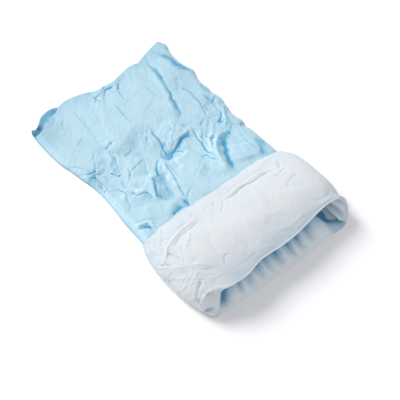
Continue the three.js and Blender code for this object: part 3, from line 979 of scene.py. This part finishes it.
# %% Lining of the mouth
inner_start = lip_rows[-1]
inner_end = route(
    [
        (398, -128, 1.0), (396, -130, 5), (394, -124, 10), (392, -104, 13.5), (390, -60, 15.5), (390, 0, 16),
        (390, 60, 15.5), (392, 100, 14), (394, 122, 11), (396, 129, 6), (398, 127, 1.0),
    ],
    ARCH_PLACES,
)
inwards = np.linspace(0, 1, 56)[:, None]
leave = inner_start - 26 * FORWARD + 1.5 * inward
inner = swing(inner_start, leave, inner_end + 30 * FORWARD, inner_end, inwards[..., None])
pleats = Facets((0, -20), (400, 120), 15, seed=31)
round_place, row_place = np.broadcast_arrays(share * 390, inwards * 60)
ruck = 1.9 * pleats.at(round_place, row_place * 0.28) * ease(0.0, 0.4, inwards)
side_pleats = np.sin(round_place / 2.9 + 1.5 * np.sin(round_place / 17) + row_place * 0.06)
ruck += 2.3 * side_pleats * ease(0.02, 0.2, inwards) * ease(0.76, 0.84, share)
inner += normals(inner) * (ruck * ease(0, 6, inner[..., 2]))[..., None]
inner[..., 2] = np.maximum(inner[..., 2], 0.8)
# Painted shade: deeper the further into the mouth, and in the valleys of the rucks.
inner_painted_shade = 1.7 * inwards**1.5 - 0.12 * ruck
mouth_lining = cloth("mouth_lining", inner, tinted_lining, film, inner_painted_shade)

# %% [markdown]
# ## The lower lip
#
# Under the mouth the turned cloth lies as a soft roll. Its foot rests on the floor in front of the lip, and it
# slopes up and back to a crest, then dips into the tube. It is gathered, so pleats run over it from front to back.

# %% Lower lip
foot = through(
    (-140, 491), (-135, 493), (-100, 495), (-54, 497), (-12, 498), (37, 497), (70, 494), (98, 494), (115, 495),
    (126, 494), (134, 491),
)
crest_u = through(
    (-140, 462), (-60, 458), (60, 457), (92, 457), (98, 461), (101, 470), (104, 476), (109, 481), (115, 484),
    (122, 489), (134, 488),
)
crest_z = through(
    (-140, 20), (-60, 22), (60, 22), (92, 21), (98, 18), (101, 13.5), (104, 11), (109, 10), (115, 9), (122, 5.5),
    (134, 4),
)
INSIDE_END = 396  # the lip's cloth ends here, inside the tube
reach, v = np.meshgrid(np.linspace(0, 1, 96), np.linspace(-138, 133, 230), indexing="ij")
u = foot(v) + (INSIDE_END - foot(v)) * reach
climb = np.clip((foot(v) - u) / (foot(v) - crest_u(v)), 0, 1)
rise = ease(-0.12, 1, climb) - 0.04 * (1 - climb)
open_end = ease(82, 98, v)
fall = ease(0, 55 - 38 * open_end, crest_u(v) - u)
z = 0.5 + (crest_z(v) - 0.5) * rise * (1 - (0.72 + 0.22 * open_end) * fall)
lip_pleats = [
    ([(499, -124), (480, -116), (455, -112)], -5.0, 13, 13),
    ([(497, -98), (480, -92), (452, -91)], 2.6, 4, 4),
    ([(490, -84), (476, -81), (450, -80)], -3.0, 6, 6),
    ([(499, -71), (484, -73), (450, -74)], 3.2, 8, 6),
    ([(492, -62), (480, -61), (450, -60)], -2.4, 6, 6),
    ([(494, -50), (480, -51), (450, -52)], 2.2, 3.5, 3.5),
    ([(494, -36), (476, -39), (450, -40)], -3.6, 10, 8),
    ([(495, -26), (478, -30), (452, -31)], 2.2, 3, 3),
    ([(492, -18), (476, -22), (450, -23)], -2.0, 5, 5),
    ([(494, -9), (478, -13), (452, -14)], 2.0, 3, 3),
    ([(494, 5), (475, 0), (450, -1)], -3.8, 10, 9),
    ([(497, 18), (480, 13), (455, 11)], 2.4, 3.5, 3.5),
    ([(494, 30), (474, 25), (450, 24)], -3.4, 7, 8),
    ([(499, 39), (488, 35), (462, 32)], 3.2, 4, 4),
    ([(494, 51), (474, 46), (450, 45)], -3.8, 8, 7),
    ([(494, 61), (478, 57), (455, 55)], 1.8, 4, 4),
    ([(490, 71), (472, 67), (450, 66)], -2.6, 9, 9),
    ([(494, 87), (478, 84), (456, 80)], 1.0, 8, 8),
]
PLEAT_SOFTNESS = 1.2
bumps = 1.1 * creases(u, v, [(*stroke, PLEAT_SOFTNESS) for stroke in lip_pleats])
bumps += 0.5 * middle.at(v + 150, (u - 450) * 0.5)
z = np.maximum(z + bumps * ease(0.5, 12, z), 0.5)
# Painted shade: deeper up the face towards the overhanging lip, in the pleat valleys, towards the left end and in the
# gap there, and behind the crest, most at the open right end. `patchy` adds random tone.
behind = ease(-34, 12, crest_u(v) - u)
up_face = np.clip((foot(v) - u) / 30, 0, 1) ** 1.1 * (1 - 0.75 * ease(66, 96, v))
patchy = 0.5 + 0.5 * middle.at(v + 150, u * 0.35)
lip_tint_and_painted_shade = 0.30 + 0.3 * patchy + 0.2 * ease(-60, -120, v) - 0.06 * (0.6 + patchy) * bumps
lip_tint_and_painted_shade = lip_tint_and_painted_shade * up_face + (0.42 + 0.45 * open_end) * behind
lip_tint_and_painted_shade += 0.42 * ease(-100, -122, v) * ease(0.1, 0.7, up_face)
places = np.stack([u, v, z], -1)
lower_lip = cloth("lower_lip", places[::-1], tinted_lining, film, lip_tint_and_painted_shade[::-1])

# %% Underside of the cuff
UNDER_START, UNDER_END = HEM + 8, 486
s, t = np.meshgrid(np.linspace(0, 1, 60), np.linspace(0.012, 0.988, 90), indexing="ij")
u = UNDER_START + (UNDER_END - UNDER_START) * s
low, high = left_side(np.minimum(u, FRONT)) + 8, right_side(np.minimum(u, FRONT)) - 8
tuck = ease(462, 490, u)
v = np.clip(low + (high - low) * t, low + 12 * tuck, high - 14 * tuck)
base = np.stack([u, v, np.maximum(0.55 + 0.12 * cuff_middle.at(u, v), 0.45)], -1)
cuff_underside = cloth("cuff_underside", base[:, ::-1], lining, film)

# %% [markdown]
# ## What moves with what
#
# Lifting the mouth turns the top of the cuff about its hem. The floor edge of the cuff stays where it is. The
# outside and the lining of the mouth are only baked in place here, attached to neither body. Everything else stays
# with the gown.

# %% Bodies, nodes and sheets
for piece in (tail_upper, tail_lower, left_seam, right_seam, cuff_underside, lower_lip):
    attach(piece, "gown_body")
for piece in (cuff_outside, mouth_lining):
    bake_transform(piece)

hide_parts("upper_panel_film", "upper_panel_lining")
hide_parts("lower_panel_film", "lower_panel_lining")
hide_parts("left_side_seam")
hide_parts("right_side_seam")
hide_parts("cuff_upper_lining", "cuff_upper_film", "upper_lip_fold", "cuff_back_hem")
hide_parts("left_side_outer_lining", "left_side_film", "right_side_outer_lining", "right_side_film")
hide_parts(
    "inner_upper_film", "inner_upper_lining", "left_side_inner_lining", "right_side_inner_lining"
)
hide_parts("cuff_lower_lining", "cuff_lower_film", "cuff_lower_hem")
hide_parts("lower_lip_fold")

# %% [markdown]
# ## Floor, light and camera
#
# The floor is plain and pale. One large soft light stands beyond the far end of the gown, so every slope that faces
# the cuff falls into gentle shade. A weak and very soft one at the front keeps the mouth from going dark, and an even
# white surround keeps the shadows light.

# %% Floor
bpy.ops.mesh.primitive_plane_add(size=9, location=(0, 0, 0))
floor = bpy.context.object
floor.name = "floor"
paper = blank("white_paper_floor")
grain = add(paper, NOISE, {"Vector": add(paper, "ShaderNodeTexCoord").outputs["Object"]}, Scale=900.0)
tooth = add(paper, BUMP, {"Height": grain.outputs["Fac"]}, Strength=0.03, Distance=0.0002)
matt = add(paper, PRINCIPLED, {"Normal": tooth.outputs["Normal"]}, Roughness=0.9, Specular_IOR_Level=0.1)
matt.inputs["Base Color"].default_value = linear("#FAFAFB")
add(paper, "ShaderNodeOutputMaterial", {"Surface": matt.outputs[0]})
floor.data.materials.append(paper)
floor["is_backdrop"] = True

# %% Light
world = bpy.data.worlds.new("surround")
scene.world = world
world.use_nodes = True
sky = world.node_tree.nodes["Background"]
sky.inputs["Color"].default_value = linear("#FBFCFF")
sky.inputs["Strength"].default_value = 0.565


def soft_sun(name, energy, degrees_wide, toward):
    """A distant light that shines from the direction toward, its softness given by how wide it looks."""
    light = bpy.data.lights.new(name, "SUN")
    light.energy, light.angle = energy, math.radians(degrees_wide)
    lamp = bpy.data.objects.new(name, light)
    scene.collection.objects.link(lamp)
    lamp.rotation_euler = Vector(toward).to_track_quat("Z", "Y").to_euler()


soft_sun("window", 3.15, 30, (-0.83, -0.15, 0.53))
soft_sun("fill", 0.6, 70, (0.70, -0.58, 0.27))
print("lights:", [light.name for light in bpy.data.lights])
scene.view_settings.view_transform = "Standard"

# %% Camera
turn, tilt = math.radians(50), math.radians(54.3)
away = Vector((math.sin(turn) * math.cos(tilt), -math.cos(turn) * math.cos(tilt), math.sin(tilt)))
lens = bpy.data.cameras.new("camera")
lens.lens, lens.sensor_width = 150, 36
camera = bpy.data.objects.new("camera", lens)
scene.collection.objects.link(camera)
camera.location = Vector((0.0554, -0.0185, 0)) + away * 2.7365
camera.rotation_euler = away.to_track_quat("Z", "Y").to_euler()
bpy.context.scene.camera = camera
print("camera in mm:", [round(v / MM) for v in camera.location])

# %% Size of what is drawn
low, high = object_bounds()
print("visual box in mm:", [round(v / MM, 1) for v in (*low, *high)])
